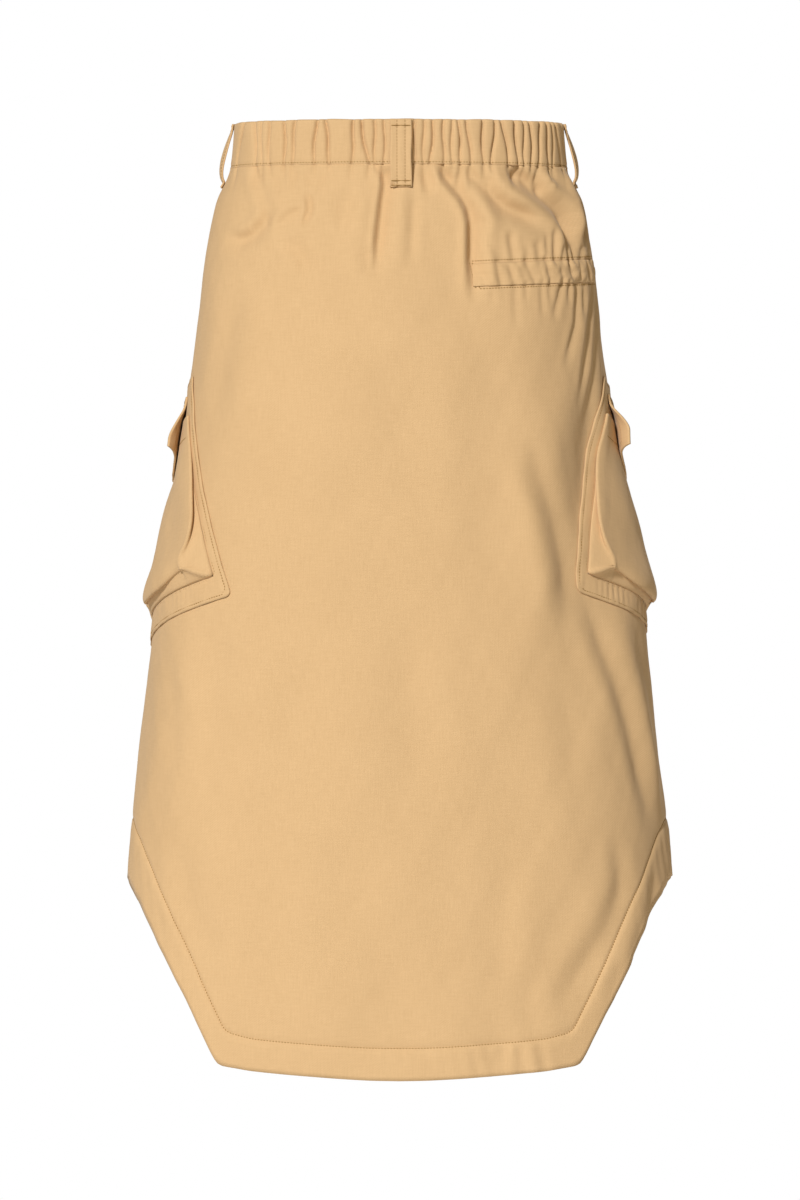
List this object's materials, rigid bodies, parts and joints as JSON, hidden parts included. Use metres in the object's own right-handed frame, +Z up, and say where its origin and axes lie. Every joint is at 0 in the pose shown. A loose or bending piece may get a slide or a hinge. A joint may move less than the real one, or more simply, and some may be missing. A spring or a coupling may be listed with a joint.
{
  "type": "cargo utility skirt",
  "caption": "Hollow midi skirt of cotton twill with a gathered back waistband, belt loops, a welt pocket, slanted bellows pockets with flaps and a shirt-tail hem.",
  "frame": {"origin": "centre of the waist ring, half way up the waistband, where the wearer's waist holds the skirt", "axes": "+Z up; -Y is the skirt's back, the side with the welt pocket; +Y is the wearer's front; +X is the wearer's right"},
  "size_m": [0.4884, 0.3051, 0.8531],
  "materials": {
    "twill": "matte cotton twill, washed"
  },
  "bodies": {
    "root": {"back_panel": "twill", "front_panel": "twill", "waistband_back": "twill", "waistband_front": "twill", "belt_loop_centre_back": "twill", "belt_loop_side_left": "twill", "belt_loop_side_right": "twill", "belt_loop_front_left": "twill", "belt_loop_front_right": "twill", "pocket_welt": "twill", "cargo_patch_left": "twill", "cargo_patch_right": "twill", "cargo_pocket_left": "twill", "cargo_pocket_right": "twill", "cargo_flap_left": "twill", "cargo_flap_right": "twill"}
  },
  "joints": []
}
